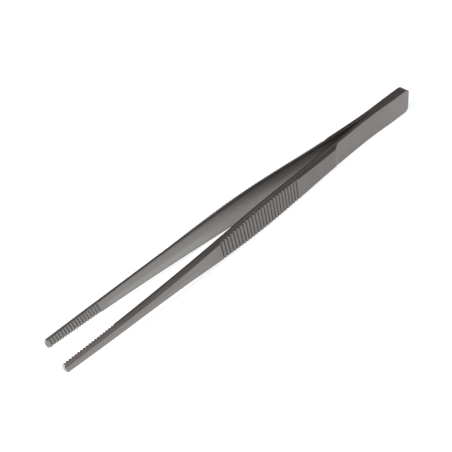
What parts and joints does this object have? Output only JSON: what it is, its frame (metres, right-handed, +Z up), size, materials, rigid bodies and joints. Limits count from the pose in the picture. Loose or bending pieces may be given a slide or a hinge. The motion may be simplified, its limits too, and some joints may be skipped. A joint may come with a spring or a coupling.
{
  "type": "thumb forceps",
  "caption": "Steel thumb forceps: two sprung arms joined at a flat heel, ribbed thumb grips, bevelled blade edges and narrow tips with cross-cut teeth.",
  "frame": {"origin": "on the table below the middle of the forceps, which lie on the edges of their blades", "axes": "+X along the forceps from the heel to the tips, +Y across the gap from one arm to the other, +Z up, across the width of the blades"},
  "size_m": [0.145, 0.0126, 0.0102],
  "materials": {
    "satin_steel": "satin"
  },
  "bodies": {
    "root": {"forceps": "satin_steel"}
  },
  "joints": []
}
